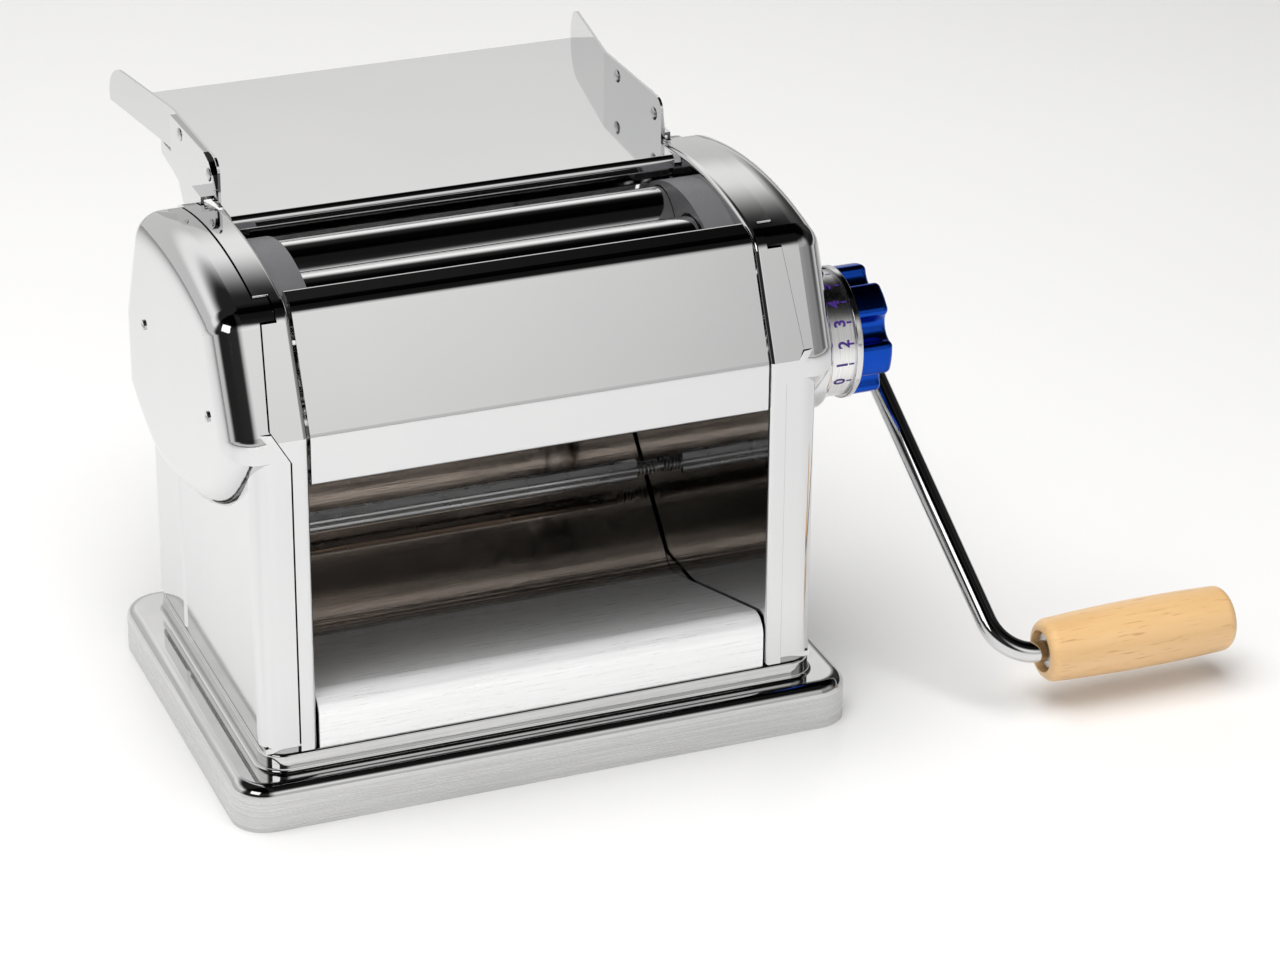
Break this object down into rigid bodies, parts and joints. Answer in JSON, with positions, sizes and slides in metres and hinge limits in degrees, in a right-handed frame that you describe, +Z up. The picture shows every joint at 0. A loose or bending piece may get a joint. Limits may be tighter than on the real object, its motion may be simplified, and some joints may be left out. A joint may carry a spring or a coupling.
{
  "type": "hand-cranked pasta roller machine",
  "caption": "Hand-cranked dough sheeter: polished steel housing on a wide foot, paired rollers, thickness dial, feed tray, delivery chute and a detachable crank with a wooden grip.",
  "frame": {"origin": "centre of the foot's underside, on the table", "axes": "+Z up, +X along the rollers towards the crank side, +Y towards the back, where the feed tray is"},
  "size_m": [0.4765, 0.3182, 0.2598],
  "materials": {
    "polished_steel": "mirror polished",
    "base_steel": "brushed wall, polished top",
    "plate_steel": "satin sheet",
    "roller_steel": "ground and polished",
    "machined_steel": "turned",
    "gear_steel": "cut teeth, lightly oiled",
    "spring_steel": "drawn wire",
    "bearing_bronze": "turned",
    "blue_anodised": "blue anodised, satin gloss",
    "dial_silver": "satin, dark numbers",
    "beech": "clear varnish",
    "foot_rubber": "matt",
    "cheek_grey": "satin"
  },
  "bodies": {
    "frame": {"side_frame_right": "polished_steel", "side_frame_left": "polished_steel", "side_cover_right": "polished_steel", "side_cover_left": "polished_steel", "front_panel": "polished_steel", "rear_panel": "polished_steel", "chute": "polished_steel", "base_shell": "base_steel", "bottom_plate": "plate_steel", "lower_stretcher": "plate_steel", "front_scraper": "plate_steel", "rear_scraper": "plate_steel", "carrier_guides": "plate_steel", "carrier_spring_seats": "plate_steel", "tie_rods": "machined_steel", "tie_rod_nuts": "machined_steel", "scraper_rods": "machined_steel", "cover_posts": "machined_steel", "foot_bolts": "machined_steel", "cover_screws": "machined_steel", "stretcher_springs": "spring_steel", "scraper_springs": "spring_steel", "carrier_springs": "spring_steel", "rear_roller_bushes": "bearing_bronze", "drive_shaft_bush": "bearing_bronze", "foot_pads": "foot_rubber", "dough_cheek_right": "cheek_grey", "dough_cheek_left": "cheek_grey"},
    "front_roller": {"front_roller": "roller_steel", "roller_gear_front": "gear_steel"},
    "rear_roller": {"rear_roller": "roller_steel", "roller_gear_rear": "gear_steel", "drive_pinion": "gear_steel"},
    "carriage": {"roller_carrier_right": "plate_steel", "roller_carrier_left": "plate_steel", "front_roller_bushes": "bearing_bronze"},
    "regulator": {"regulator_shaft": "machined_steel", "regulator_cam_right": "gear_steel", "regulator_cam_left": "gear_steel", "dial_drum": "dial_silver", "dial_ring": "polished_steel", "regulator_knob": "blue_anodised", "knob_screw": "machined_steel"},
    "drive": {"drive_shaft": "machined_steel", "drive_gear": "gear_steel", "drive_circlip": "spring_steel"},
    "crank": {"crank_rod": "polished_steel", "crank_retainer": "machined_steel"},
    "grip": {"crank_handle": "beech"},
    "tray": {"feed_tray": "polished_steel", "tray_guide_right": "polished_steel", "tray_guide_left": "polished_steel", "tray_bracket_right": "polished_steel", "tray_bracket_left": "polished_steel", "tray_rivets": "machined_steel"}
  },
  "joints": [
    {"name": "drive_spin", "type": "hinge", "parent": "frame", "child": "drive", "pos_m": [0.119, 0.0265, 0.1671], "axis": [1, 0, 0], "continuous": true},
    {"name": "rear_roller_spin", "type": "hinge", "parent": "frame", "child": "rear_roller", "pos_m": [0, 0.0065, 0.2144], "axis": [1, 0, 0], "continuous": true},
    {"name": "roller_gap", "type": "slide", "parent": "frame", "child": "carriage", "axis": [0, -1, 0], "range_m": [-0.002, 0.003]},
    {"name": "front_roller_spin", "type": "hinge", "parent": "carriage", "child": "front_roller", "pos_m": [0, -0.0308, 0.2144], "axis": [1, 0, 0], "continuous": true},
    {"name": "regulator_turn", "type": "hinge", "parent": "frame", "child": "regulator", "pos_m": [0.15, -0.0428, 0.1712], "axis": [1, 0, 0], "range_deg": [-77.7, 116.5]},
    {"name": "crank_pull", "type": "slide", "parent": "drive", "child": "crank", "axis": [1, 0, 0], "range_m": [0, 0.025]},
    {"name": "handle_spin", "type": "hinge", "parent": "crank", "child": "grip", "pos_m": [0.282, -0.1145, 0.0273], "axis": [1, 0, 0], "continuous": true},
    {"name": "tray_lift", "type": "slide", "parent": "frame", "child": "tray", "axis": [0, 0, 1], "range_m": [0, 0.025]}
  ],
  "couplings": [
    {"joint": "rear_roller_spin", "follows": "drive_spin", "ratio": -1.9286},
    {"joint": "front_roller_spin", "follows": "drive_spin", "ratio": 1.9286},
    {"joint": "regulator_turn", "follows": "roller_gap", "rad_per_m": 677.19}
  ]
}
